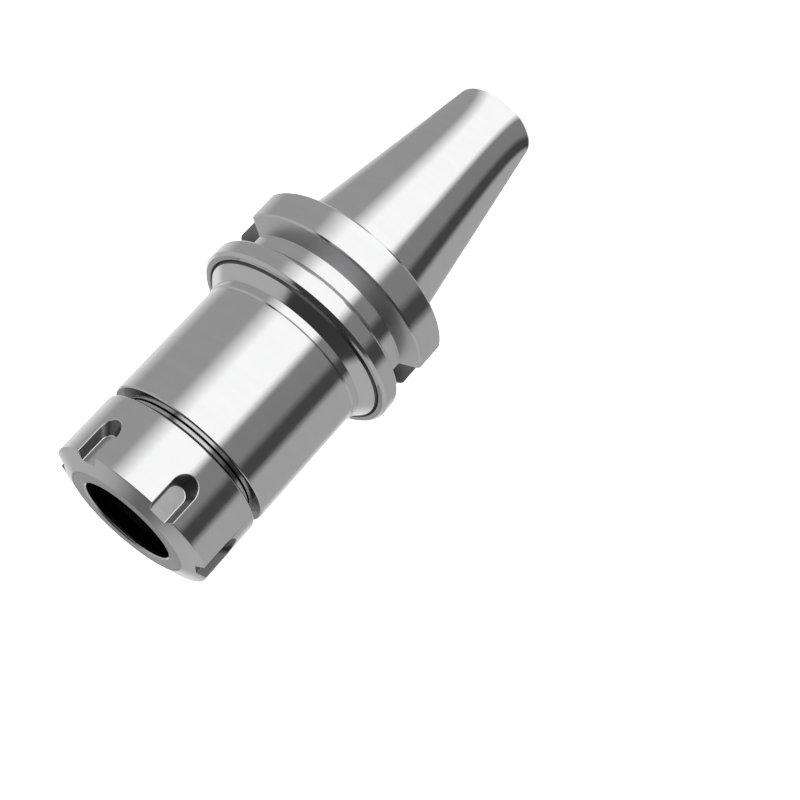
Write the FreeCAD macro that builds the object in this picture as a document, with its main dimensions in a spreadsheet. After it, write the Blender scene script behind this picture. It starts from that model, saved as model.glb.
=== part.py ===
"""Collet chuck holder: 7:24 taper shank with its flange, slotted clamping nut and closing ring.

Frame: millimetres, +Z along the spindle axis from the taper's small end to the nut, origin on
the axis at the gauge plane, where the taper measures its nominal diameter. The two drive slots
of the flange lie on the X axis. The holder stands on the small end of its taper.

Pieces: holder_body (one turned piece), clamping_nut, closing_ring (it turns inside the nut, and
closes and draws out the collet) and retaining_wire (the snap wire that keeps the ring in the nut).
"""
import FreeCAD, Part
import math
import os
import re

import Sketcher

doc = FreeCAD.newDocument("ColletChuckHolder")

# --- Driving dimensions (millimetres and degrees) ---------------------------------------------
SIZES = [
    # Taper shank
    ("gauge_dia", 44.45, "taper diameter at the gauge plane"),
    ("taper_len", 65.4, "gauge plane to small end"),
    ("taper_ratio", 7 / 24, "loss of diameter per length"),
    ("end_chamfer", 0.8, "edge of the small end"),
    ("relief_depth", 0.6, "grinding relief between taper and flange, radial"),
    # Pull stud hole
    ("stud_thread_dia", 16.0, "nominal thread for the pull stud"),
    ("stud_thread_pitch", 2.0, "its pitch"),
    ("stud_thread_len", 30.0, "threaded length with its lead-in"),
    ("stud_pilot_step", 0.5, "pilot counterbore, beyond the thread, radial"),
    ("stud_pilot_depth", 8.0, "its depth"),
    ("coolant_dia", 10.0, "hole from the thread to the collet bore"),
    # Flange
    ("flange_dia", 63.0, "both rings"),
    ("flange_start", 2.0, "gauge plane to the rear face"),
    ("flange_end", 27.0, "gauge plane to the front face"),
    ("vee_centre", 16.6, "gauge plane to the middle of the gripper groove"),
    ("vee_width", 10.0, "groove width at the rim"),
    ("vee_depth", 5.0, "groove depth"),
    ("vee_angle", 60.0, "between the groove's walls"),
    ("rim_chamfer", 0.8, "outer edges of the flange"),
    ("vee_chamfer", 0.4, "edges of the groove"),
    ("drive_width", 16.1, "drive slot width"),
    ("drive_step", 0.275, "slot floor above the taper's large end"),
    # Collar and cylindrical body
    ("face_width", 1.4, "flat front face of the flange"),
    ("foot_groove", 0.5, "turned groove round the collar cone's foot, width and depth"),
    ("collar_angle", 45.0, "slope of the collar cone"),
    ("band_step", 0.3, "narrow band above the body, radial"),
    ("band_len", 2.3, "length of the band"),
    ("body_dia", 50.0, "ground body"),
    ("shoulder", 70.5, "gauge plane to the body's shoulder"),
    ("edge_chamfer", 0.5, "body and nut edges"),
    # Collet seat
    ("seat_dia", 33.0, "collet size, at the seat's mouth"),
    ("seat_angle", 8.0, "half angle"),
    ("seat_len", 32.0, "length of the seat"),
    ("seat_chamfer", 0.4, "mouth edge"),
    ("bore_step", 0.5, "step from the seat to the bore behind it, radial"),
    ("bore_len", 22.5, "length of that bore"),
    ("drill_angle", 30.0, "slope of the bore's bottom"),
    # Nose
    ("nose_wall", 3.5, "seat's mouth to the crest of the nut thread"),
    ("nut_thread_pitch", 1.5, "pitch of the nut thread"),
    ("thread_clear", 0.04, "radial, on each side of the pitch line"),
    ("neck_depth", 1.05, "thread run-out groove"),
    ("neck_len", 2.6, "its length from the shoulder"),
    ("nose_short", 0.7, "end of the nose behind the end of the nut's thread"),
    ("nose_chamfer", 1.0, "thread lead-in"),
    # Clamping nut
    ("shoulder_gap", 0.3, "shoulder to the nut's rear end as it stands"),
    ("nut_wall", 5.0, "thread's root to the outside of the nut"),
    ("hub_step", 2.3, "rear hub, below the nut's outside"),
    ("hub_len", 2.7, "its length"),
    ("hub_chamfer", 0.2, "its rear edge"),
    ("nut_thread_len", 12.4, "internal thread"),
    ("wire_back", 1.72, "thread's end to the wire"),
    ("nut_cone_len", 2.1, "front cone"),
    ("nut_flat", 0.42, "flat end between cone and closing ring"),
    ("cavity_room", 0.6, "round the closing ring's collar"),
    ("wall_len", 5.75, "front wall round the ring's spigot"),
    ("slot_count", 6, "spanner slots"),
    ("slot_floor_width", 5.2, "flat floor of each slot"),
    ("slot_depth", 2.8, "below the nut's outside"),
    ("slot_len", 12.0, "behind the cone's edge, measured at the rim"),
    ("flare_angle", 21.5, "slope of the slot's side walls"),
    ("lean_angle", 50.5, "slope of the slot's rounded end"),
    ("phase_angle", 17.0, "first slot from the X axis"),
    # Closing ring
    ("collar_pass", 1.0, "rear collar, inside the nut thread's crest, radial"),
    ("collar_step", 1.0, "collar beyond the spigot, radial"),
    ("ring_wall", 1.8, "spigot round the collet's head"),
    ("ring_clear", 0.08, "running clearance, radial and behind the wall"),
    ("mouth_len", 1.2, "straight part of the mouth"),
    ("mouth_chamfer", 0.4, "its edge"),
    ("cone_len", 3.8, "cone that presses on the collet"),
    ("closing_angle", 30.0, "slope of that cone"),
    ("head_len", 0.6, "room for the collet's head behind the cone"),
    ("lip_height", 1.1, "pull-out lip, radial"),
    ("lip_offset", 0.7, "offset of the lip's bore from the axis"),
    ("lip_len", 2.3, "lip thickness"),
    # Retaining wire
    ("wire_dia", 1.6, "snap wire"),
    ("wire_reach", 0.2, "middle of the wire beyond the ring's collar, radial"),
    ("wire_gap_angle", 16.0, "opening of the wire"),
    ("wire_clear", 0.08, "round the wire in its groove"),
    # Cuts and threads in general
    ("overrun", 1.0, "how far a cut starts outside the metal"),
    ("minor_share", 1.0825, "nominal less minor diameter of a thread, in pitches"),
    ("pitch_share", 0.6495, "nominal less pitch diameter of a thread, in pitches"),
]

# Each of these is a formula on the sizes above.
DERIVED = [
    ("small_dia", "gauge_dia - taper_len * taper_ratio"),
    ("small_end", "-taper_len"),
    ("stud_minor_dia", "stud_thread_dia - minor_share * stud_thread_pitch"),
    ("stud_pilot_dia", "stud_thread_dia + 2 * stud_pilot_step"),
    ("stud_pilot_end", "small_end + stud_pilot_depth"),
    ("stud_thread_end", "stud_pilot_end + stud_thread_len"),
    ("vee_floor_dia", "flange_dia - 2 * vee_depth"),
    ("vee_half_floor", "vee_width / 2 - vee_depth * tan(vee_angle / 2)"),
    ("drive_floor", "gauge_dia / 2 + drive_step"),
    ("foot_dia", "flange_dia - 2 * rim_chamfer - 2 * face_width"),
    ("band_dia", "body_dia + 2 * band_step"),
    ("collar_end", "flange_end + (foot_dia / 2 - foot_groove - band_dia / 2) / tan(collar_angle)"),
    ("band_end", "collar_end + band_len"),
    ("nut_thread_dia", "seat_dia + 2 * nose_wall"),
    ("pitch_dia", "nut_thread_dia - pitch_share * nut_thread_pitch"),
    ("nose_dia", "pitch_dia - 2 * thread_clear"),
    ("neck_dia", "nose_dia - 2 * neck_depth"),
    ("nose_end", "shoulder + shoulder_gap + nut_thread_len - nose_short"),
    ("seat_end", "nose_end - seat_len"),
    ("seat_end_dia", "seat_dia - 2 * seat_len * tan(seat_angle)"),
    ("bore_dia", "seat_end_dia - 2 * bore_step"),
    ("bore_end", "seat_end - bore_len"),
    ("bore_bottom", "bore_end - (bore_dia - coolant_dia) / 2 * tan(drill_angle)"),
    ("nut_bore_dia", "pitch_dia + 2 * thread_clear"),
    ("nut_dia", "nut_thread_dia + 2 * nut_wall"),
    ("hub_dia", "nut_dia - 2 * hub_step"),
    ("nut_rear", "shoulder + shoulder_gap"),
    ("cavity_rear", "nut_rear + nut_thread_len"),
    ("wire_level", "cavity_rear + wire_back + wire_dia / 2"),
    ("ring_rear", "wire_level + wire_dia / 2 + wire_clear"),
    ("lip_front", "ring_rear + lip_len"),
    ("cone_rear", "lip_front + head_len"),
    ("nut_front", "cone_rear + cone_len + mouth_len"),
    ("nut_cone_edge", "nut_front - nut_cone_len"),
    ("slot_rim_rear", "nut_cone_edge - slot_len"),
    ("wall_rear", "nut_front - wall_len"),
    ("collar_front", "wall_rear - ring_clear"),
    ("collar_dia", "nut_thread_dia - 2 * collar_pass"),
    ("cavity_dia", "collar_dia + 2 * cavity_room"),
    ("spigot_dia", "collar_dia - 2 * collar_step"),
    ("wall_bore_dia", "spigot_dia + 2 * ring_clear"),
    ("nut_flat_dia", "wall_bore_dia + 2 * nut_flat"),
    ("head_dia", "spigot_dia - 2 * ring_wall"),
    ("lip_dia", "head_dia - 2 * lip_height"),
    ("mouth_dia", "head_dia - 2 * cone_len * tan(closing_angle)"),
    ("wire_mean_dia", "collar_dia + 2 * wire_reach"),
    ("wire_groove_dia", "wire_mean_dia + wire_dia + 2 * wire_clear"),
]

ALIASES = {alias for alias, *_ in SIZES + DERIVED}
ANGLES = {alias for alias in ALIASES if alias.endswith("_angle")}

sheet = doc.addObject("Spreadsheet::Sheet", "Dims")


def formula(text, owner=""):
    """Puts the sheet's name before each alias, and degrees after each angle, in a formula."""

    def named(match):
        word = match.group(0)
        if word not in ALIASES:
            return word
        return f"({owner}{word} * 1deg)" if word in ANGLES else owner + word

    return re.sub(r"[a-z][a-z_]+", named, text)


for row, (alias, value, meaning) in enumerate(SIZES, start=1):
    sheet.set(f"A{row}", alias)
    sheet.set(f"B{row}", str(value))
    sheet.set(f"C{row}", meaning)
    sheet.setAlias(f"B{row}", alias)
for row, (alias, text) in enumerate(DERIVED, start=len(SIZES) + 1):
    sheet.set(f"A{row}", alias)
    sheet.set(f"B{row}", "=" + formula(text))
    sheet.setAlias(f"B{row}", alias)
doc.recompute()


# --- Helpers for sketched features -------------------------------------------------------------
def bind(thing, prop, text):
    """Ties one property of an object to a formula on the sheet."""
    thing.setExpression(prop, formula(text, "Dims."))


def new_body(label):
    """An empty sub-part; its Label is also the name of its file."""
    body = doc.addObject("PartDesign::Body", label)
    body.Label = label
    return body


def origin_feature(body, role):
    """One of the body's own origin planes or axes."""
    return next(item for item in body.Origin.OriginFeatures if item.Role == role)


def new_sketch(body, role, name):
    """A sketch on one of the body's own origin planes."""
    sketch = body.newObject("Sketcher::SketchObject", name)
    sketch.AttachmentSupport = [(origin_feature(body, role), "")]
    sketch.MapMode = "FlatFace"
    return sketch


def place_vertex(sketch, edge, end, across, along):
    """Holds an edge's end (1 start, 2 end, 3 centre) at two formulas from the sketch's origin."""
    for kind, text in (("DistanceX", across), ("DistanceY", along)):
        value = sketch.evalExpression(formula(text, "Dims."))
        value = getattr(value, "Value", value)
        row = sketch.addConstraint(Sketcher.Constraint(kind, -1, 1, edge, end, value))
        bind(sketch, f"Constraints[{row}]", text)


def value_of(text):
    """A formula's present value in millimetres."""
    value = sheet.evalExpression(formula(text))
    return getattr(value, "Value", value)


def draw_outline(sketch, points):
    """A closed outline with straight sides; each point is a pair of formulas."""
    spots = [FreeCAD.Vector(value_of(across), value_of(along), 0) for across, along in points]
    count = len(spots)
    for index in range(count):
        sketch.addGeometry(Part.LineSegment(spots[index], spots[(index + 1) % count]), False)
    for index in range(count):
        sketch.addConstraint(Sketcher.Constraint("Coincident", index, 2, (index + 1) % count, 1))
    for index, (across, along) in enumerate(points):
        place_vertex(sketch, index, 1, across, along)


def turned(body, kind, name, points):
    """A Revolution or a Groove about Z from an outline of (radius, height) formulas."""
    sketch = new_sketch(body, "XZ_Plane", name + "_section")
    draw_outline(sketch, points)
    feature = body.newObject("PartDesign::" + kind, name)
    feature.Profile = sketch
    feature.ReferenceAxis = (sketch, ["V_Axis"])
    feature.Angle = 360
    sketch.Visibility = False
    doc.recompute()
    return feature


def repeat_round(body, feature, name, count):
    """Copies of a feature spaced evenly round Z."""
    pattern = body.newObject("PartDesign::PolarPattern", name)
    pattern.Originals = [feature]
    pattern.Axis = (origin_feature(body, "Z_Axis"), [""])
    pattern.Angle = 360
    if isinstance(count, str):
        bind(pattern, "Occurrences", count)
    else:
        pattern.Occurrences = count
    body.Tip = pattern
    doc.recompute()
    return pattern


def must_cut(body, before, what):
    """A cut that missed the solid would leave its volume as it was."""
    if not body.Shape.Volume < before - 1.0:
        raise RuntimeError(f"{what} removed nothing")


# --- Holder body: taper shank, flange, collar, body and threaded nose in one piece --------------
def make_holder_body():
    body = new_body("holder_body")
    turned(body, "Revolution", "outside", [
        ("0", "small_end"),
        ("small_dia / 2 - end_chamfer", "small_end"),
        ("small_dia / 2 + end_chamfer * taper_ratio / 2", "small_end + end_chamfer"),
        ("gauge_dia / 2", "0"),
        ("gauge_dia / 2 - relief_depth", "relief_depth"),
        ("gauge_dia / 2 - relief_depth", "flange_start"),
        ("flange_dia / 2 - rim_chamfer", "flange_start"),
        ("flange_dia / 2", "flange_start + rim_chamfer"),
        ("flange_dia / 2", "flange_end - rim_chamfer"),
        ("flange_dia / 2 - rim_chamfer", "flange_end"),
        ("foot_dia / 2", "flange_end"),
        ("foot_dia / 2", "flange_end - foot_groove"),
        ("foot_dia / 2 - foot_groove", "flange_end - foot_groove"),
        ("foot_dia / 2 - foot_groove", "flange_end"),
        ("band_dia / 2", "collar_end"),
        ("band_dia / 2", "band_end"),
        ("body_dia / 2", "band_end"),
        ("body_dia / 2", "shoulder - edge_chamfer"),
        ("body_dia / 2 - edge_chamfer", "shoulder"),
        ("neck_dia / 2", "shoulder"),
        ("neck_dia / 2", "shoulder + neck_len"),
        ("nose_dia / 2", "shoulder + neck_len + nose_dia / 2 - neck_dia / 2"),
        ("nose_dia / 2", "nose_end - nose_chamfer"),
        ("nose_dia / 2 - nose_chamfer", "nose_end"),
        ("0", "nose_end"),
    ])

    before = body.Shape.Volume
    turned(body, "Groove", "gripper_groove", [
        ("vee_floor_dia / 2", "vee_centre - vee_half_floor"),
        ("flange_dia / 2 - vee_chamfer", "vee_centre - vee_width / 2 + vee_chamfer * tan(vee_angle / 2)"),
        ("flange_dia / 2", "vee_centre - vee_width / 2 - vee_chamfer"),
        ("flange_dia / 2 + overrun", "vee_centre - vee_width / 2 - vee_chamfer"),
        ("flange_dia / 2 + overrun", "vee_centre + vee_width / 2 + vee_chamfer"),
        ("flange_dia / 2", "vee_centre + vee_width / 2 + vee_chamfer"),
        ("flange_dia / 2 - vee_chamfer", "vee_centre + vee_width / 2 - vee_chamfer * tan(vee_angle / 2)"),
        ("vee_floor_dia / 2", "vee_centre + vee_half_floor"),
    ])
    must_cut(body, before, "gripper groove")

    before = body.Shape.Volume
    turned(body, "Groove", "collet_seat", [
        ("0", "nose_end + overrun"),
        ("seat_dia / 2 + seat_chamfer", "nose_end + overrun"),
        ("seat_dia / 2 + seat_chamfer", "nose_end"),
        ("seat_dia / 2 - seat_chamfer * tan(seat_angle)", "nose_end - seat_chamfer"),
        ("seat_end_dia / 2", "seat_end"),
        ("bore_dia / 2", "seat_end"),
        ("bore_dia / 2", "bore_end"),
        ("coolant_dia / 2", "bore_bottom"),
        ("0", "bore_bottom"),
    ])
    must_cut(body, before, "collet seat")

    before = body.Shape.Volume
    turned(body, "Groove", "stud_hole", [
        ("0", "small_end - overrun"),
        ("stud_pilot_dia / 2", "small_end - overrun"),
        ("stud_pilot_dia / 2", "stud_pilot_end"),
        ("stud_minor_dia / 2", "stud_pilot_end + (stud_pilot_dia - stud_minor_dia) / 2"),
        ("stud_minor_dia / 2", "stud_thread_end"),
        ("coolant_dia / 2", "stud_thread_end + (stud_minor_dia - coolant_dia) / 2"),
        ("coolant_dia / 2", "bore_end"),
        ("0", "bore_end"),
    ])
    must_cut(body, before, "stud hole")

    before = body.Shape.Volume
    slot = new_sketch(body, "XZ_Plane", "drive_slot_side")
    draw_outline(slot, [
        ("drive_floor", "0"),
        ("flange_dia / 2 + overrun", "0"),
        ("flange_dia / 2 + overrun", "vee_centre + vee_half_floor"),
        ("drive_floor", "vee_centre + vee_half_floor"),
    ])
    cut = body.newObject("PartDesign::Pocket", "drive_slot")
    cut.Profile = slot
    cut.Midplane = True
    bind(cut, "Length", "drive_width")
    slot.Visibility = False
    doc.recompute()
    must_cut(body, before, "drive slot")
    repeat_round(body, cut, "drive_slots", 2)
    return body


# --- Clamping nut: threaded ring with open spanner slots across its front cone ------------------
def slot_outline(body, name, height):
    """The slot's outline, round at the rear, at a height above the nut's outside."""
    sketch = new_sketch(body, "YZ_Plane", name)
    bind(sketch, "AttachmentOffset.Base.z", f"nut_dia / 2 + {height}")
    doc.recompute()
    half = f"slot_floor_width / 2 + (slot_depth + {height}) * tan(flare_angle)"
    arc_level = f"slot_rim_rear - {height} * tan(lean_angle) + {half}"
    front = "nut_front"
    side = value_of(half)
    rear = value_of(arc_level)
    end = value_of(front)
    corners = [FreeCAD.Vector(-side, end, 0), FreeCAD.Vector(-side, rear, 0),
               FreeCAD.Vector(side, rear, 0), FreeCAD.Vector(side, end, 0)]
    circle = Part.Circle(FreeCAD.Vector(0, rear, 0), FreeCAD.Vector(0, 0, 1), side)
    sketch.addGeometry(Part.LineSegment(corners[0], corners[1]), False)
    sketch.addGeometry(Part.ArcOfCircle(circle, math.pi, 2 * math.pi), False)
    sketch.addGeometry(Part.LineSegment(corners[2], corners[3]), False)
    sketch.addGeometry(Part.LineSegment(corners[3], corners[0]), False)
    sketch.addConstraint(Sketcher.Constraint("Tangent", 0, 2, 1, 1))
    sketch.addConstraint(Sketcher.Constraint("Tangent", 1, 2, 2, 1))
    sketch.addConstraint(Sketcher.Constraint("Coincident", 2, 2, 3, 1))
    sketch.addConstraint(Sketcher.Constraint("Coincident", 3, 2, 0, 1))
    sketch.addConstraint(Sketcher.Constraint("Vertical", 0))
    sketch.addConstraint(Sketcher.Constraint("Horizontal", 3))
    place_vertex(sketch, 1, 3, "0", arc_level)
    place_vertex(sketch, 2, 2, half, front)
    return sketch


def make_clamping_nut():
    body = new_body("clamping_nut")
    turned(body, "Revolution", "outside", [
        ("nut_bore_dia / 2", "nut_rear + edge_chamfer"),
        ("nut_bore_dia / 2 + edge_chamfer", "nut_rear"),
        ("hub_dia / 2 - hub_chamfer", "nut_rear"),
        ("hub_dia / 2", "nut_rear + hub_chamfer"),
        ("hub_dia / 2", "nut_rear + hub_len"),
        ("nut_dia / 2 - edge_chamfer", "nut_rear + hub_len"),
        ("nut_dia / 2", "nut_rear + hub_len + edge_chamfer"),
        ("nut_dia / 2", "nut_cone_edge"),
        ("nut_flat_dia / 2", "nut_front"),
        ("wall_bore_dia / 2", "nut_front"),
        ("wall_bore_dia / 2", "wall_rear"),
        ("cavity_dia / 2", "wall_rear"),
        ("cavity_dia / 2", "cavity_rear"),
        ("nut_bore_dia / 2", "cavity_rear"),
    ])

    before = body.Shape.Volume
    turned(body, "Groove", "wire_groove", [
        ("cavity_dia / 2 - overrun", "wire_level - wire_dia / 2 - wire_clear"),
        ("wire_groove_dia / 2", "wire_level - wire_dia / 2 - wire_clear"),
        ("wire_groove_dia / 2", "wire_level + wire_dia / 2 + wire_clear"),
        ("cavity_dia / 2 - overrun", "wire_level + wire_dia / 2 + wire_clear"),
    ])
    must_cut(body, before, "wire groove")

    # The slot narrows from its rim to its floor, and its rounded end leans towards the front.
    before = body.Shape.Volume
    rim = slot_outline(body, "spanner_slot_rim", "overrun")
    floor = slot_outline(body, "spanner_slot_floor", "-slot_depth")
    cut = body.newObject("PartDesign::SubtractiveLoft", "spanner_slot")
    cut.Profile = rim
    cut.Sections = [floor]
    cut.Ruled = True
    rim.Visibility = False
    floor.Visibility = False
    doc.recompute()
    must_cut(body, before, "spanner slot")
    repeat_round(body, cut, "spanner_slots", "slot_count")
    bind(body, "Placement.Rotation.Angle", "phase_angle")
    return body


# --- Closing ring: turns in the nut's front wall; its lip pulls the collet out ------------------
def make_closing_ring():
    body = new_body("closing_ring")
    turned(body, "Revolution", "section", [
        ("mouth_dia / 2 + mouth_chamfer", "nut_front"),
        ("spigot_dia / 2", "nut_front"),
        ("spigot_dia / 2", "collar_front"),
        ("collar_dia / 2", "collar_front"),
        ("collar_dia / 2", "ring_rear"),
        ("mouth_dia / 2", "ring_rear"),
        ("mouth_dia / 2", "lip_front"),
        ("head_dia / 2", "lip_front"),
        ("head_dia / 2", "cone_rear"),
        ("mouth_dia / 2", "nut_front - mouth_len"),
        ("mouth_dia / 2", "nut_front - mouth_chamfer"),
    ])

    before = body.Shape.Volume
    circle = new_sketch(body, "XY_Plane", "lip_circle")
    bind(circle, "AttachmentOffset.Base.z", "ring_rear")
    doc.recompute()
    centre = FreeCAD.Vector(value_of("lip_offset"), 0, 0)
    axis = FreeCAD.Vector(0, 0, 1)
    circle.addGeometry(Part.Circle(centre, axis, value_of("lip_dia / 2")), False)
    place_vertex(circle, 0, 3, "lip_offset", "0")
    row = circle.addConstraint(Sketcher.Constraint("Diameter", 0, value_of("lip_dia")))
    bind(circle, f"Constraints[{row}]", "lip_dia")
    cut = body.newObject("PartDesign::Pocket", "lip_bore")
    cut.Profile = circle
    cut.Reversed = True
    bind(cut, "Length", "lip_len")
    circle.Visibility = False
    doc.recompute()
    must_cut(body, before, "lip bore")
    return body


# --- Retaining wire: an open ring of round wire in the nut's groove -----------------------------
def make_retaining_wire():
    wire = doc.addObject("Part::Torus", "retaining_wire")
    wire.Label = "retaining_wire"
    bind(wire, "Radius1", "wire_mean_dia / 2")
    bind(wire, "Radius2", "wire_dia / 2")
    bind(wire, "Angle3", "360deg - wire_gap_angle")
    bind(wire, "Placement.Base.z", "wire_level")
    return wire


pieces = [make_holder_body(), make_clamping_nut(), make_closing_ring(), make_retaining_wire()]
doc.recompute()

# --- Checks, then one STEP file for each piece --------------------------------------------------
for item in doc.Objects:
    if {"Invalid", "Error"} & set(item.State):
        raise RuntimeError(f"{item.Label} failed: {item.State}")
for piece in pieces:
    shape = piece.Shape
    if shape.isNull() or not shape.isValid() or len(shape.Solids) != 1:
        raise RuntimeError(f"{piece.Label} is not one valid solid")

os.makedirs("parts", exist_ok=True)
for piece in pieces:
    piece.Shape.exportStep(f"parts/{piece.Label}.step")
    box = piece.Shape.BoundBox
    print(f"{piece.Label}: {piece.Shape.Volume:.1f} mm3, z {box.ZMin:.2f} to {box.ZMax:.2f}")
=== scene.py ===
import math

import bmesh
import bpy
from mathutils import Matrix, Vector


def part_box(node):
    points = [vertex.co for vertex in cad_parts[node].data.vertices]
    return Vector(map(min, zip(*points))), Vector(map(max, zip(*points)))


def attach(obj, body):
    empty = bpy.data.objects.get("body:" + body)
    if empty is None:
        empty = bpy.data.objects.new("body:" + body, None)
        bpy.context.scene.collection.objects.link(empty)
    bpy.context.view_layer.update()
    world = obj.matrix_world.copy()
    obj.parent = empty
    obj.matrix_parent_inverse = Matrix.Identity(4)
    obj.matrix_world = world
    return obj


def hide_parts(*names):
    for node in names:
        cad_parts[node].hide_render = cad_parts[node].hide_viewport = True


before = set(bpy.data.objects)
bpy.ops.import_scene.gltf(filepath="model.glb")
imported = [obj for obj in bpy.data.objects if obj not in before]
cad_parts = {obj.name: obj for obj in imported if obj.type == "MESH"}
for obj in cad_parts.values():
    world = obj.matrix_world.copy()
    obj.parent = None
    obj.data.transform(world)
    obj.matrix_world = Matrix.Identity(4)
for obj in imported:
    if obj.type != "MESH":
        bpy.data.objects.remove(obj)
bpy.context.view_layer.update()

# ------------------------------------------------------------------------------------------------
# Holder body: taper shank, flange with gripper groove, collar, ground body and threaded nose.
# It is turned from one bar of alloy steel, hardened, then ground all over. The collet seat and
# the bores run through it, and two drive slots are milled across the flange's rear ring.
# ------------------------------------------------------------------------------------------------
MM = 0.001
ROUND_STEPS = 256

holder_low, holder_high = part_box("holder_body")
SMALL_END = holder_low[2] / MM
NOSE_END = holder_high[2] / MM
FLANGE_R = min(holder_high[0], -holder_low[0]) / MM

GAUGE_R = 22.225
TAPER = 7 / 48
END_CHAMFER = 0.8
RELIEF = 0.6
RIM_CHAMFER = 0.8
NOSE_CHAMFER = 0.6
FLANGE_START = 2.0
FLANGE_END = 27.0
VEE_CENTRE = 16.6
VEE_HALF = 5.0
VEE_FLOOR_R = 26.5
VEE_EDGE = 0.4
VEE_EDGE_RUN = 0.23
VEE_FLOOR_HALF = VEE_HALF - (FLANGE_R - VEE_FLOOR_R) * math.tan(math.radians(30))
FOOT_R = 28.8
FOOT_NOTCH = 0.45
BAND_R = 25.3
BAND_START = FLANGE_END + FOOT_R - BAND_R
BAND_END = BAND_START + 2.3
BAND_EASE = 0.1
BAND_SLOPE = 0.45
BODY_R = 25.0
SHOULDER = 70.5
BODY_EDGE = 0.35
NECK_R = 18.4
NECK_END = SHOULDER + 2.6
THREAD_ROOT_R = 19.06
THREAD_CREST_R = 19.95
SEAT_MOUTH_R = 16.5
SEAT_CHAMFER = 0.4
SEAT_STEEPNESS = 0.06
SEAT_END = NOSE_END - 32.0
SEAT_END_R = 12.0
BORE_R = SEAT_END_R - 0.5
BORE_END = SEAT_END - 22.5
COOLANT_R = 5.0
DRILL_SLOPE = math.tan(math.radians(30))
STUD_PILOT_R = 8.5
STUD_PILOT_END = SMALL_END + 8.0
STUD_THREAD_END = STUD_PILOT_END + 30.0
STUD_MINOR_R = 6.92
STUD_MAJOR_R = 7.95


class Value:
    """A node's output socket; arithmetic on it adds Math nodes."""

    def __init__(self, finish, socket):
        self.finish = finish
        self.socket = socket

    def math(self, operation, *others, swap=False):
        inputs = [self, *others]
        if swap:
            inputs.reverse()
        return self.finish.node("ShaderNodeMath", {"operation": operation}, dict(enumerate(inputs)))

    def __add__(self, other):
        return self.math("ADD", other)

    __radd__ = __add__

    def __sub__(self, other):
        return self.math("SUBTRACT", other)

    def __rsub__(self, other):
        return self.math("SUBTRACT", other, swap=True)

    def __mul__(self, other):
        return self.math("MULTIPLY", other)

    __rmul__ = __mul__

    def __truediv__(self, other):
        return self.math("DIVIDE", other)

    def __rtruediv__(self, other):
        return self.math("DIVIDE", other, swap=True)


class Finish:
    """A material being made; node() adds each of its nodes."""

    def __init__(self, name):
        self.material = bpy.data.materials.new(name)
        self.material.use_nodes = True
        self.tree = self.material.node_tree
        self.tree.nodes.clear()

    def node(self, kind, settings=None, inputs=None, output=0):
        made = self.tree.nodes.new(kind)
        for name, value in (settings or {}).items():
            if name == "stops":
                ramp = made.color_ramp
                while len(ramp.elements) > 1:
                    ramp.elements.remove(ramp.elements[-1])
                ramp.elements[0].position, ramp.elements[0].color = value[0]
                for place, colour in value[1:]:
                    ramp.elements.new(place).color = colour
            else:
                setattr(made, name, value)
        for name, value in (inputs or {}).items():
            if isinstance(value, Value):
                self.tree.links.new(value.socket, made.inputs[name])
            else:
                made.inputs[name].default_value = value
        return Value(self, made.outputs[output])

    def coordinates(self):
        """X, Y and Z of the surface in the object's own space, in millimetres."""
        place = self.node("ShaderNodeTexCoord", output=3)
        axes = []
        for output in range(3):
            axes.append(self.node("ShaderNodeSeparateXYZ", {}, {0: place}, output) / MM)
        return axes

    def point(self, x, y, z):
        return self.node("ShaderNodeCombineXYZ", {}, {0: x, 1: y, 2: z})

    def noise(self, point, scale, detail=2.0, roughness=0.5):
        inputs = {"Vector": point, "Scale": scale, "Detail": detail, "Roughness": roughness}
        return self.node("ShaderNodeTexNoise", {}, inputs)

    def blend(self, share, low, high):
        """Mixes two colours."""
        inputs = {0: share, 6: low, 7: high}
        return self.node("ShaderNodeMix", {"data_type": "RGBA"}, inputs, output=2)

    def close(self, kind, inputs):
        """Ends the tree with one shader."""
        shader = self.node(kind, {}, inputs)
        end = self.tree.nodes.new("ShaderNodeOutputMaterial")
        self.tree.links.new(shader.socket, end.inputs[0])
        return self.material


def machined_steel(name, colour, roughness, line_depth, brushed=0.0):
    """Turned or ground steel: fine rings round the axis, a faint cloudiness and a few wider marks."""
    finish = Finish(name)
    x, y, z = finish.coordinates()
    radius = (x * x + y * y).math("SQRT")
    rings = finish.noise(finish.point(radius * 3.0, 0.0, z * 3.0), 1.0, 3.0, 0.7)
    marks = finish.noise(finish.point(radius * 0.35, 7.0, z * 0.35), 1.0, 1.0)
    cloud = finish.noise(finish.point(x * 0.08, y * 0.08, z * 0.4), 1.0, 2.0)
    dark = tuple(value * 0.88 for value in colour) + (1.0,)
    tint = finish.blend(cloud * 0.5 + rings * 0.3 + marks * 0.2, dark, colour + (1.0,))
    bump = finish.node("ShaderNodeBump", {}, {"Height": rings, "Strength": 1.0, "Distance": line_depth * MM})
    return finish.close("ShaderNodeBsdfPrincipled", {
        "Base Color": tint,
        "Metallic": 1.0,
        "Roughness": cloud * 0.08 + rings * 0.08 + (roughness - 0.08),
        "Anisotropic": brushed,
        "Anisotropic Rotation": 0.25,
        "Normal": bump,
    })


ground = machined_steel("ground_steel", (0.88, 0.88, 0.885), 0.1, 0.0012)
# Dark steel: its darkness is painted shade, for the drive slots, the foot notch and the nut's faces that
# face down.
painted_shade_dark = machined_steel("dark_steel_painted_shade", (0.14, 0.14, 0.143), 0.32, 0.003)
# Near-black steel: painted deep shade in the bores, the stud thread, the ring's mouth and lip bore, and the
# hub groove.
painted_deep_shade = machined_steel("painted_deep_shade_steel", (0.045, 0.045, 0.047), 0.4, 0.002)
groove_rear = machined_steel("turned_groove", (0.8, 0.8, 0.805), 0.3, 0.003, 0.3)
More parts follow.
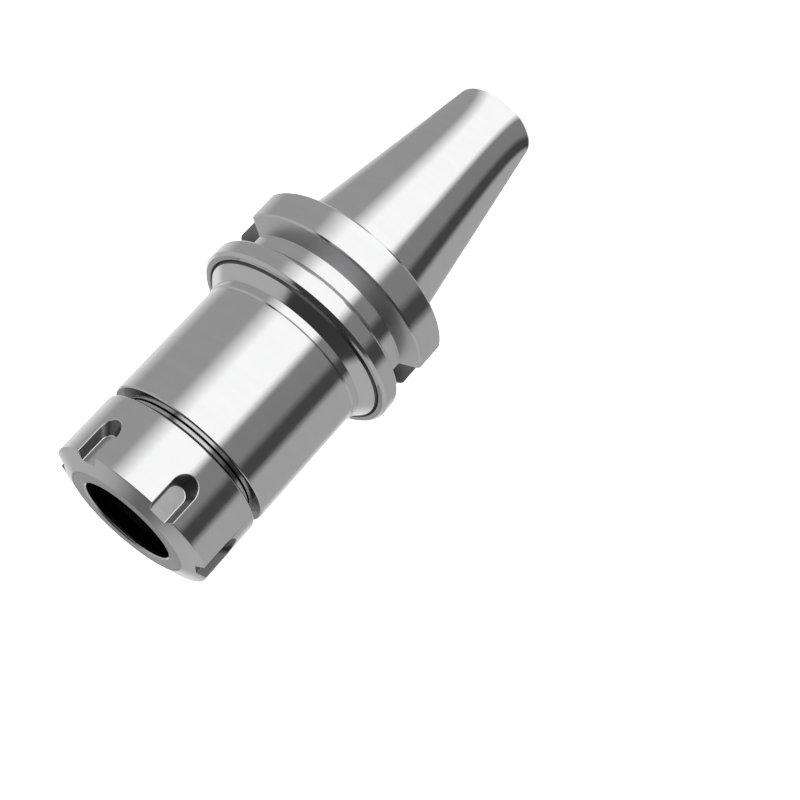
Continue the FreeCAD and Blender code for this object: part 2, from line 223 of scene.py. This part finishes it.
# Mid-dark steel: painted shade on the groove's front wall, the neck and the upper bore.
painted_half_shade = machined_steel("turned_steel_painted_shade", (0.33, 0.33, 0.335), 0.4, 0.003)
faced = machined_steel("faced_shoulder", (0.6, 0.6, 0.605), 0.1, 0.0006)


def turn_on_lathe(name, outline, *materials):
    """Sweeps a closed outline of (radius, height) in millimetres once round Z."""
    bpy.ops.object.select_all(action="DESELECT")
    start = (outline[0][0] * MM, 0, outline[0][1] * MM)
    bpy.ops.mesh.primitive_plane_add(size=MM, location=start)
    piece = bpy.context.object
    piece.name = name
    for material in materials:
        piece.data.materials.append(material)
    bpy.ops.object.transform_apply(location=True, rotation=True, scale=True)
    bpy.ops.object.mode_set(mode="EDIT")
    bpy.ops.mesh.select_all(action="SELECT")
    bpy.ops.mesh.merge(type="CENTER")
    path = outline[1:] + outline[:1]
    for (r0, z0), (r1, z1) in zip(outline, path):
        step = ((r1 - r0) * MM, 0, (z1 - z0) * MM)
        bpy.ops.mesh.extrude_region_move(TRANSFORM_OT_translate={"value": step})
    bpy.ops.mesh.select_all(action="SELECT")
    bpy.ops.mesh.remove_doubles(threshold=1e-6)
    bpy.ops.mesh.select_all(action="SELECT")
    bpy.ops.mesh.spin(steps=ROUND_STEPS, angle=math.tau, center=(0, 0, 0), axis=(0, 0, 1))
    bpy.ops.mesh.select_all(action="SELECT")
    bpy.ops.mesh.remove_doubles(threshold=1e-6)
    bpy.ops.mesh.normals_make_consistent(inside=False)
    bpy.ops.object.mode_set(mode="OBJECT")
    return piece


def cut_away(piece, cutters, material):
    """Takes the cutters' volume out of a piece; the cut faces get the cutters' material."""
    for cutter in cutters:
        cutter.data.materials.append(material)
        cut = piece.modifiers.new("cut", "BOOLEAN")
        cut.operation = "DIFFERENCE"
        cut.solver = "EXACT"
        cut.material_mode = "TRANSFER"
        cut.object = cutter
        bpy.context.view_layer.objects.active = piece
        bpy.ops.object.modifier_apply(modifier=cut.name)
        bpy.data.objects.remove(cutter, do_unlink=True)


def finish_edges(piece, width, stays_fine=lambda r, z: False):
    """Rounds every sharp edge, only a trace where stays_fine says so, then evens the faces' shading."""
    wear = piece.data.attributes.new("bevel_weight_edge", "FLOAT", "EDGE")
    fine_share = 0.15
    sharp = math.radians(15)
    solid = bmesh.new()
    solid.from_mesh(piece.data)
    for edge in solid.edges:
        if len(edge.link_faces) == 2 and edge.calc_face_angle() > sharp:
            middle = (edge.verts[0].co + edge.verts[1].co) / 2 / MM
            fine = stays_fine(math.hypot(middle.x, middle.y), middle.z)
            wear.data[edge.index].value = fine_share if fine else 1.0
    solid.free()
    bpy.ops.object.select_all(action="DESELECT")
    piece.select_set(True)
    bpy.context.view_layer.objects.active = piece
    ease = piece.modifiers.new("ease", "BEVEL")
    ease.limit_method = "WEIGHT"
    ease.width = width * MM
    ease.segments = 2
    ease.use_clamp_overlap = False
    ease.material = 0
    bpy.ops.object.modifier_apply(modifier=ease.name)
    bpy.ops.object.shade_smooth_by_angle(angle=math.radians(50))
    even = piece.modifiers.new("even", "WEIGHTED_NORMAL")
    even.weight = 80
    even.keep_sharp = True
    bpy.ops.object.modifier_apply(modifier=even.name)
    true_up(piece)


def true_up(piece):
    """Gives each turned face the exact slope of its own cone or cylinder, so reflections run straight."""
    mesh = piece.data
    most_sideways = 0.02
    least_span = 0.25 * MM
    normals = [corner.vector.copy() for corner in mesh.corner_normals]
    for face in mesh.polygons:
        heading = Vector((face.center.x, face.center.y, 0)).normalized()
        sideways = face.normal.dot(Vector((-heading.y, heading.x, 0)))
        points = [mesh.vertices[index].co for index in face.vertices]
        heights = [point.z for point in points]
        radii = [math.hypot(point.x, point.y) for point in points]
        span = max(max(heights) - min(heights), max(radii) - min(radii))
        if face.material_index != 0 or abs(sideways) > most_sideways or span < least_span:
            continue
        outward = face.normal.dot(heading)
        for corner, point, r in zip(face.loop_indices, points, radii):
            slope = Vector((outward * point.x / r, outward * point.y / r, face.normal.z))
            normals[corner] = slope.normalized()
    mesh.normals_split_custom_set(normals)


holder = turn_on_lathe("holder", [
    (STUD_PILOT_R, SMALL_END),
    (GAUGE_R + SMALL_END * TAPER - END_CHAMFER, SMALL_END),
    (GAUGE_R + (SMALL_END + END_CHAMFER) * TAPER, SMALL_END + END_CHAMFER),
    (GAUGE_R, 0),
    (GAUGE_R - RELIEF, RELIEF),
    (GAUGE_R - RELIEF, FLANGE_START),
    (FLANGE_R - RIM_CHAMFER, FLANGE_START),
    (FLANGE_R, FLANGE_START + RIM_CHAMFER),
    (FLANGE_R, VEE_CENTRE - VEE_HALF - VEE_EDGE),
    (FLANGE_R - VEE_EDGE, VEE_CENTRE - VEE_HALF + VEE_EDGE_RUN),
    (VEE_FLOOR_R, VEE_CENTRE - VEE_FLOOR_HALF),
    (VEE_FLOOR_R, VEE_CENTRE + VEE_FLOOR_HALF),
    (FLANGE_R - VEE_EDGE, VEE_CENTRE + VEE_HALF - VEE_EDGE_RUN),
    (FLANGE_R, VEE_CENTRE + VEE_HALF + VEE_EDGE),
    (FLANGE_R, FLANGE_END - RIM_CHAMFER),
    (FLANGE_R - RIM_CHAMFER, FLANGE_END),
    (FOOT_R + FOOT_NOTCH, FLANGE_END),
    (FOOT_R, FLANGE_END - FOOT_NOTCH),
    (FOOT_R - FOOT_NOTCH, FLANGE_END + FOOT_NOTCH),
    (BAND_R, BAND_START),
    (BAND_R, BAND_END - BAND_EASE),
    (BODY_R, BAND_END + BAND_SLOPE),
    (BODY_R, SHOULDER - BODY_EDGE),
    (BODY_R - BODY_EDGE, SHOULDER),
    (NECK_R, SHOULDER),
    (NECK_R, NECK_END),
    (THREAD_ROOT_R, NECK_END + THREAD_ROOT_R - NECK_R),
    (THREAD_ROOT_R, NOSE_END - NOSE_CHAMFER),
    (THREAD_ROOT_R - NOSE_CHAMFER, NOSE_END),
    (SEAT_MOUTH_R + SEAT_CHAMFER, NOSE_END),
    (SEAT_MOUTH_R - SEAT_STEEPNESS, NOSE_END - SEAT_CHAMFER),
    (SEAT_END_R, SEAT_END),
    (BORE_R, SEAT_END),
    (BORE_R, BORE_END),
    (COOLANT_R, BORE_END - (BORE_R - COOLANT_R) * DRILL_SLOPE),
    (COOLANT_R, STUD_THREAD_END + STUD_MAJOR_R - COOLANT_R),
    (STUD_MAJOR_R, STUD_THREAD_END),
    (STUD_MAJOR_R, STUD_PILOT_END + STUD_PILOT_R - STUD_MAJOR_R),
    (STUD_PILOT_R, STUD_PILOT_END),
], ground, painted_shade_dark, painted_deep_shade, groove_rear, painted_half_shade, faced)

DRIVE_WIDTH = 16.1
DRIVE_FLOOR = GAUGE_R + 0.275
DRIVE_OVER = 2
DRIVE_DEPTH = FLANGE_R + DRIVE_OVER - DRIVE_FLOOR
DRIVE_LEN = VEE_CENTRE + VEE_FLOOR_HALF
drive_cutters = []
for side in (1, -1):
    bpy.ops.object.select_all(action="DESELECT")
    centre = (side * (DRIVE_FLOOR + DRIVE_DEPTH / 2) * MM, 0, DRIVE_LEN / 2 * MM)
    size = (DRIVE_DEPTH * MM, DRIVE_WIDTH * MM, DRIVE_LEN * MM)
    bpy.ops.mesh.primitive_cube_add(size=1, location=centre, scale=size)
    bpy.ops.object.transform_apply(location=True, rotation=True, scale=True)
    drive_cutters.append(bpy.context.object)
# The drive slots' cut faces are milled; their dark colour is painted shade in the slots.
cut_away(holder, drive_cutters, painted_shade_dark)
finish_edges(holder, 0.1)


def cut_thread(name, pitch, root_r, crest_r, start, end, crest_share=0.2):
    """One helical skin of 60 degree thread between two heights; it fades out at both ends."""
    bpy.ops.object.select_all(action="DESELECT")
    bpy.ops.mesh.primitive_plane_add(size=MM, location=(root_r * MM, 0, (start - pitch) * MM))
    thread = bpy.context.object
    thread.name = name
    bpy.ops.object.transform_apply(location=True, rotation=True, scale=True)
    bpy.ops.object.mode_set(mode="EDIT")
    bpy.ops.mesh.select_all(action="SELECT")
    bpy.ops.mesh.merge(type="CENTER")
    height = crest_r - root_r
    flank = pitch * (1 - 2 * crest_share) / 2
    for out, up in ((height, flank), (0, pitch * crest_share), (-height, flank), (0, pitch * crest_share)):
        bpy.ops.mesh.extrude_region_move(TRANSFORM_OT_translate={"value": (out * MM, 0, up * MM)})
    bpy.ops.object.mode_set(mode="OBJECT")
    helix = thread.modifiers.new("helix", "SCREW")
    helix.angle = math.tau
    helix.screw_offset = pitch * MM
    helix.iterations = math.ceil((end - start) / pitch) + 2
    helix.steps = helix.render_steps = 96
    helix.use_merge_vertices = True
    bpy.ops.object.modifier_apply(modifier=helix.name)
    for vertex in thread.data.vertices:
        x, y, z = (value / MM for value in vertex.co)
        r = math.hypot(x, y)
        room = max(0.0, min(1.0, (z - start) / abs(height), (end - z) / abs(height)))
        share = (root_r + (r - root_r) * room) / r
        vertex.co = (x * share * MM, y * share * MM, max(start, min(end, z)) * MM)
    bpy.ops.object.mode_set(mode="EDIT")
    bpy.ops.mesh.select_all(action="SELECT")
    bpy.ops.mesh.remove_doubles(threshold=1e-6)
    if crest_r > root_r:
        bpy.ops.mesh.flip_normals()
    bpy.ops.object.mode_set(mode="OBJECT")
    bpy.ops.object.shade_smooth_by_angle(angle=math.radians(20))
    return thread


THREAD_START = NECK_END + 0.4
THREAD_END = NOSE_END - 0.3
STUD_THREAD_START = STUD_PILOT_END + 0.6
nose_thread = cut_thread("nose_thread", 1.5, THREAD_ROOT_R, THREAD_CREST_R, THREAD_START, THREAD_END)
stud_thread = cut_thread("stud_thread", 2.0, STUD_MAJOR_R, STUD_MINOR_R, STUD_THREAD_START, STUD_THREAD_END)


def dress(piece, *materials):
    piece.data.materials.clear()
    for material in materials:
        piece.data.materials.append(material)


for face in holder.data.polygons:
    x, y, z = (value / MM for value in face.center)
    r = math.hypot(x, y)
    in_seat = SEAT_END_R - 0.2 < r < SEAT_MOUTH_R + 0.1 and z > SEAT_END
    off_end_face = z > 0 or r < STUD_PILOT_R + 0.1
    in_bore = r < BORE_R + 0.6 and SMALL_END + 0.1 < z < SEAT_END + 0.1 and off_end_face
    in_neck = r < 20 and SHOULDER - 0.05 < z < NECK_END + 0.7
    in_foot_notch = abs(r - FOOT_R) < FOOT_NOTCH and abs(z - FLANGE_END) < FOOT_NOTCH
    on_shoulder = NECK_R < r < BODY_R - BODY_EDGE and abs(z - SHOULDER) < 0.01
    off_middle = z - VEE_CENTRE
    on_groove_wall = VEE_FLOOR_HALF + 0.03 < abs(off_middle) < VEE_HALF - 0.15 and r > VEE_FLOOR_R + 0.03
    if in_seat:
        face.material_index = 3
    # Bore and neck get dark steels: painted shade, mid-dark above the gauge line and near-black below it.
    elif in_bore or in_neck:
        face.material_index = 4 if z > 0 else 2
    # The foot notch is painted dark: a line of painted shade at the foot of the collar.
    elif in_foot_notch:
        face.material_index = 1
    elif on_shoulder:
        face.material_index = 5
    # The groove's rear wall keeps a turned finish; its front wall is painted shade.
    elif on_groove_wall and face.material_index == 0:
        face.material_index = 3 if off_middle < 0 else 4
dress(nose_thread, ground)
# The stud thread inside the bore is near-black: painted deep shade.
dress(stud_thread, painted_deep_shade)
for piece in (holder, nose_thread, stud_thread):
    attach(piece, "holder")
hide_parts("holder_body")

# ------------------------------------------------------------------------------------------------
# Closing ring: a turned and hardened steel ring flush with the nut's front. Its cone presses the
# collet into the seat, and its eccentric lip draws the collet out when the nut is unscrewed.
# ------------------------------------------------------------------------------------------------
ring_low, ring_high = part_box("closing_ring")
RING_REAR = ring_low[2] / MM
NUT_FRONT = ring_high[2] / MM
COLLAR_R = ring_high[0] / MM
SPIGOT_R = 18.0
MOUTH_R = 14.0
HEAD_R = 16.2
WALL_REAR = NUT_FRONT - 5.75
RING_PLAY = 0.08
COLLAR_FRONT = WALL_REAR - RING_PLAY
LIP_FRONT = RING_REAR + 2.3
LIP_BORE_R = 15.1
LIP_SHIFT = 0.7
LIP_CUT = 6

turned_face = machined_steel("turned_face", (0.9, 0.9, 0.91), 0.22, 0.002, 0.6)
closing_ring = turn_on_lathe("closing_ring_face", [
    (MOUTH_R + 0.4, NUT_FRONT),
    (SPIGOT_R, NUT_FRONT),
    (SPIGOT_R, COLLAR_FRONT),
    (COLLAR_R, COLLAR_FRONT),
    (COLLAR_R, RING_REAR),
    (MOUTH_R, RING_REAR),
    (MOUTH_R, LIP_FRONT),
    (HEAD_R, LIP_FRONT),
    (HEAD_R, LIP_FRONT + 0.6),
    (MOUTH_R, NUT_FRONT - 1.2),
    (MOUTH_R, NUT_FRONT - 0.4),
], turned_face, painted_deep_shade)
bpy.ops.object.select_all(action="DESELECT")
bpy.ops.mesh.primitive_cylinder_add(vertices=128, radius=LIP_BORE_R * MM, depth=LIP_CUT * MM,
                                    location=(LIP_SHIFT * MM, 0, (LIP_FRONT - LIP_CUT / 2) * MM))
bpy.ops.object.transform_apply(location=True, rotation=True, scale=True)
cut_away(closing_ring, [bpy.context.object], painted_deep_shade)
finish_edges(closing_ring, 0.04)
# Faces inside the mouth and the lip bore are near-black: painted deep shade.
for face in closing_ring.data.polygons:
    x, y, z = (value / MM for value in face.center)
    if math.hypot(x, y) < HEAD_R + 0.2 and z < NUT_FRONT - 0.45:
        face.material_index = 1
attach(closing_ring, "ring")
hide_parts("closing_ring")

# ------------------------------------------------------------------------------------------------
# Retaining wire: an open ring of drawn spring wire, sprung into a groove inside the nut, where it
# holds the closing ring. It stays as the frame has it.
# ------------------------------------------------------------------------------------------------
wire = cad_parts["retaining_wire"]
dress(wire, machined_steel("drawn_wire", (0.5, 0.5, 0.52), 0.3, 0.0006))

# ------------------------------------------------------------------------------------------------
# Clamping nut: a turned and ground steel ring with a shallow front cone and six spanner slots,
# milled from the front, each with a flat floor and a leaning round end. It screws on the nose.
# ------------------------------------------------------------------------------------------------
nut_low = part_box("clamping_nut")[0]
NUT_REAR = nut_low[2] / MM
NUT_R = 25.0
NUT_EDGE = 0.5
HUB_R = 20.6
HUB_LEN = 2.4
HUB_BAND = 0.95
HUB_GROOVE = 0.3
BORE_EDGE = 0.2
NUT_BORE_R = 20.05
CONE_EDGE = NUT_FRONT - 2.1
NUT_FLAT_R = 18.5
WALL_BORE_R = SPIGOT_R + RING_PLAY

slot_floor = machined_steel("milled_floor", (0.9, 0.9, 0.905), 0.25, 0.002)
# Milled slot sides and end walls, darkened: painted shade inside the slots.
slot_side_painted_shade = machined_steel("milled_side_painted_shade", (0.2, 0.2, 0.205), 0.35, 0.003)
nut = turn_on_lathe("nut", [
    (NUT_BORE_R, NUT_REAR + BORE_EDGE),
    (NUT_BORE_R + BORE_EDGE, NUT_REAR),
    (HUB_R, NUT_REAR),
    (HUB_R, NUT_REAR + HUB_BAND),
    (HUB_R - HUB_GROOVE, NUT_REAR + HUB_BAND),
    (HUB_R - HUB_GROOVE, NUT_REAR + HUB_LEN),
    (NUT_R - NUT_EDGE, NUT_REAR + HUB_LEN),
    (NUT_R, NUT_REAR + HUB_LEN + NUT_EDGE),
    (NUT_R, CONE_EDGE),
    (NUT_FLAT_R, NUT_FRONT),
    (WALL_BORE_R, NUT_FRONT),
    (WALL_BORE_R, WALL_REAR),
    (NUT_BORE_R, WALL_REAR),
], ground, slot_side_painted_shade, slot_floor, turned_face, painted_shade_dark, painted_deep_shade)

SLOT_COUNT = 6
SLOT_FLOOR_HALF = 2.6
SLOT_DEPTH = 2.8
SLOT_RIM_REAR = CONE_EDGE - 12.0
SLOT_FLARE = math.tan(math.radians(21.5))
SLOT_LEAN = math.tan(math.radians(50.5))
FIRST_SLOT = math.radians(17)


def slot_cutter(turn):
    """The milled volume of one slot: it narrows to its floor, and its round end leans to the front."""
    over = 1.0
    run_out = 40
    depth = SLOT_DEPTH + over
    half = SLOT_FLOOR_HALF + depth * SLOT_FLARE
    level = SLOT_RIM_REAR - over * SLOT_LEAN + half
    bpy.ops.object.select_all(action="DESELECT")
    bpy.ops.mesh.primitive_circle_add(vertices=96, radius=half * MM, fill_type="NGON",
                                      location=((NUT_R + over) * MM, 0, level * MM),
                                      rotation=(0, math.radians(90), 0))
    cutter = bpy.context.object
    bpy.ops.object.transform_apply(location=True, rotation=True, scale=True)
    for vertex in cutter.data.vertices:
        if vertex.co.z > (level + 0.001) * MM:
            vertex.co.z += run_out * MM
    bpy.ops.object.mode_set(mode="EDIT")
    bpy.ops.mesh.select_all(action="SELECT")
    floor_level = SLOT_RIM_REAR + SLOT_DEPTH * SLOT_LEAN + SLOT_FLOOR_HALF
    push = (-depth * MM, 0, (floor_level - level) * MM)
    bpy.ops.mesh.extrude_region_move(TRANSFORM_OT_translate={"value": push})
    shrink = SLOT_FLOOR_HALF / half
    bpy.ops.transform.resize(value=(1, shrink, shrink), center_override=(0, 0, floor_level * MM))
    bpy.ops.mesh.select_all(action="SELECT")
    bpy.ops.mesh.normals_make_consistent(inside=False)
    bpy.ops.object.mode_set(mode="OBJECT")
    cutter.data.transform(Matrix.Rotation(turn, 4, "Z"))
    return cutter


cut_away(nut, [slot_cutter(FIRST_SLOT + k * math.tau / SLOT_COUNT) for k in range(SLOT_COUNT)], slot_side_painted_shade)
finish_edges(nut, 0.2, lambda r, z: r < HUB_R + 0.2 or z > CONE_EDGE + 0.3)
for face in nut.data.polygons:
    x, y, z = (value / MM for value in face.center)
    r = math.hypot(x, y)
    facing_out = (face.normal.x * x + face.normal.y * y) / r
    in_bore = r < NUT_BORE_R + 0.15 and NUT_REAR + 0.05 < z < WALL_REAR + 0.1
    in_hub_groove = r < HUB_R - 0.02 and NUT_REAR + HUB_BAND + 0.02 < z < NUT_REAR + HUB_LEN - 0.02
    # The bore and the hub groove are near-black: painted deep shade.
    if in_bore or in_hub_groove:
        face.material_index = 5
    # Faces that face down are dark: painted shade under the nut.
    elif face.normal.z < -0.6:
        face.material_index = 4 if face.normal.z < -0.9 else 5
    elif face.material_index == 1 and facing_out > 0.9:
        face.material_index = 2
    elif face.material_index == 0 and z > CONE_EDGE + 0.2 and face.normal.z > 0.6:
        face.material_index = 3
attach(nut, "nut")
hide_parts("clamping_nut")

# ------------------------------------------------------------------------------------------------
# Stage: a plain pale floor, soft light all round, and a light tent that only reflections see.
# Bright panels and dark strips stand round the holder inside the tent, as for polished metal.
# ------------------------------------------------------------------------------------------------
bpy.ops.object.select_all(action="DESELECT")
bpy.ops.mesh.primitive_plane_add(size=60, location=(0, 0, SMALL_END * MM - 0.0002))
floor = bpy.context.object
floor.name = "floor"
paper = Finish("pale_floor")
dress(floor, paper.close("ShaderNodeBsdfPrincipled", {
    "Base Color": (0.9, 0.9, 0.9, 1.0),
    "Roughness": 1.0,
    "Specular IOR Level": 0.0,
    "Emission Color": (1.0, 1.0, 1.0, 1.0),
    "Emission Strength": 0.6,
}))

TENT_R = 0.5
bpy.ops.object.select_all(action="DESELECT")
bpy.ops.mesh.primitive_uv_sphere_add(segments=96, ring_count=48, radius=TENT_R, location=(0, 0, 0))
tent = bpy.context.object
tent.name = "light_tent"
bpy.ops.object.mode_set(mode="EDIT")
bpy.ops.mesh.select_all(action="SELECT")
TENT_FLOOR = SMALL_END * MM - 0.0001
bpy.ops.mesh.bisect(plane_co=(0, 0, TENT_FLOOR), plane_no=(0, 0, 1), clear_inner=True, use_fill=True)
bpy.ops.object.mode_set(mode="OBJECT")

TENT_FRONT = math.radians(-90)
# Each panel: its first and last degree round the tent, counted from the front, and its brightness.
LOWER_PANELS = [
    (-180, -160, 0.7),  # back wall
    (-140, -85, 0.35),  # right wing
    (-75, -60, 0.05),   # black flag
    (-50, -25, 0.2),    # grey card
    (-15, 30, 1.0),     # key panel
    (55, 115, 0.3),     # left wing
    (150, 180, 0.7),    # back wall
]
UPPER_PANELS = [
    (-180, -175, 0.15),  # slit at the back
    (-165, -90, 0.4),    # right wing
    (-80, 50, 0.04),     # black cloth over the front
    (60, 165, 0.4),      # left wing
    (175, 180, 0.15),    # slit at the back
]
glow = Finish("tent_glow")
x, y, z = glow.coordinates()
turned = x * math.cos(TENT_FRONT) + y * math.sin(TENT_FRONT)
across = y * math.cos(TENT_FRONT) - x * math.sin(TENT_FRONT)
angle = across.math("ARCTAN2", turned) / math.tau + 0.5


def panel_stops(panels):
    """A ramp's stops: a panel is even from edge to edge, then fades into the next one."""
    stops = []
    for first, last, value in panels:
        for edge in (first, last):
            stops.append(((edge + 180) / 360, (value, value, value, 1.0)))
    return stops


flat = (x * x + y * y).math("SQRT")
tilt = z.math("ARCTAN2", flat)
low = glow.node("ShaderNodeValToRGB", {"stops": panel_stops(LOWER_PANELS)}, {0: angle})
high = glow.node("ShaderNodeValToRGB", {"stops": panel_stops(UPPER_PANELS)}, {0: angle})
facing = turned / flat
near_lift = glow.node("ShaderNodeMapRange", {}, {0: facing, 1: 0.45, 2: 0.8, 3: 0.0, 4: 0.55})
far_lift = glow.node("ShaderNodeMapRange", {}, {0: facing, 1: -0.6, 2: -1.0, 3: 0.0, 4: 0.3})
lift = near_lift + far_lift
rise = glow.node("ShaderNodeMapRange", {}, {0: tilt - lift, 1: -0.05, 2: 0.15, 3: 0.0, 4: 1.0})
crown = glow.node("ShaderNodeMapRange", {}, {0: tilt, 1: 1.0, 2: 1.25, 3: 0.0, 4: 1.0})
sides = glow.blend(rise, low, high)
light = glow.blend(crown, sides, (0.03, 0.03, 0.03, 1.0))
dress(tent, glow.close("ShaderNodeEmission", {"Color": light, "Strength": 1.12}))
tent.visible_camera = False
tent.visible_diffuse = False
tent.visible_shadow = False
tent.visible_transmission = False

world = bpy.data.worlds.new("soft_white")
world.use_nodes = True
sky = world.node_tree.nodes["Background"]
sky.inputs["Color"].default_value = (1, 1, 1, 1)
sky.inputs["Strength"].default_value = 1.3
bpy.context.scene.world = world

bpy.ops.object.camera_add(location=(-0.00835, -0.43183, 0.19046),
                          rotation=(math.radians(-62.263), math.radians(37.620), math.radians(-159.009)))
camera = bpy.context.object
camera.data.lens = 76.556
camera.data.clip_start = 0.01
camera.data.clip_end = 100
bpy.context.scene.camera = camera
bpy.context.scene.view_settings.view_transform = "Standard"
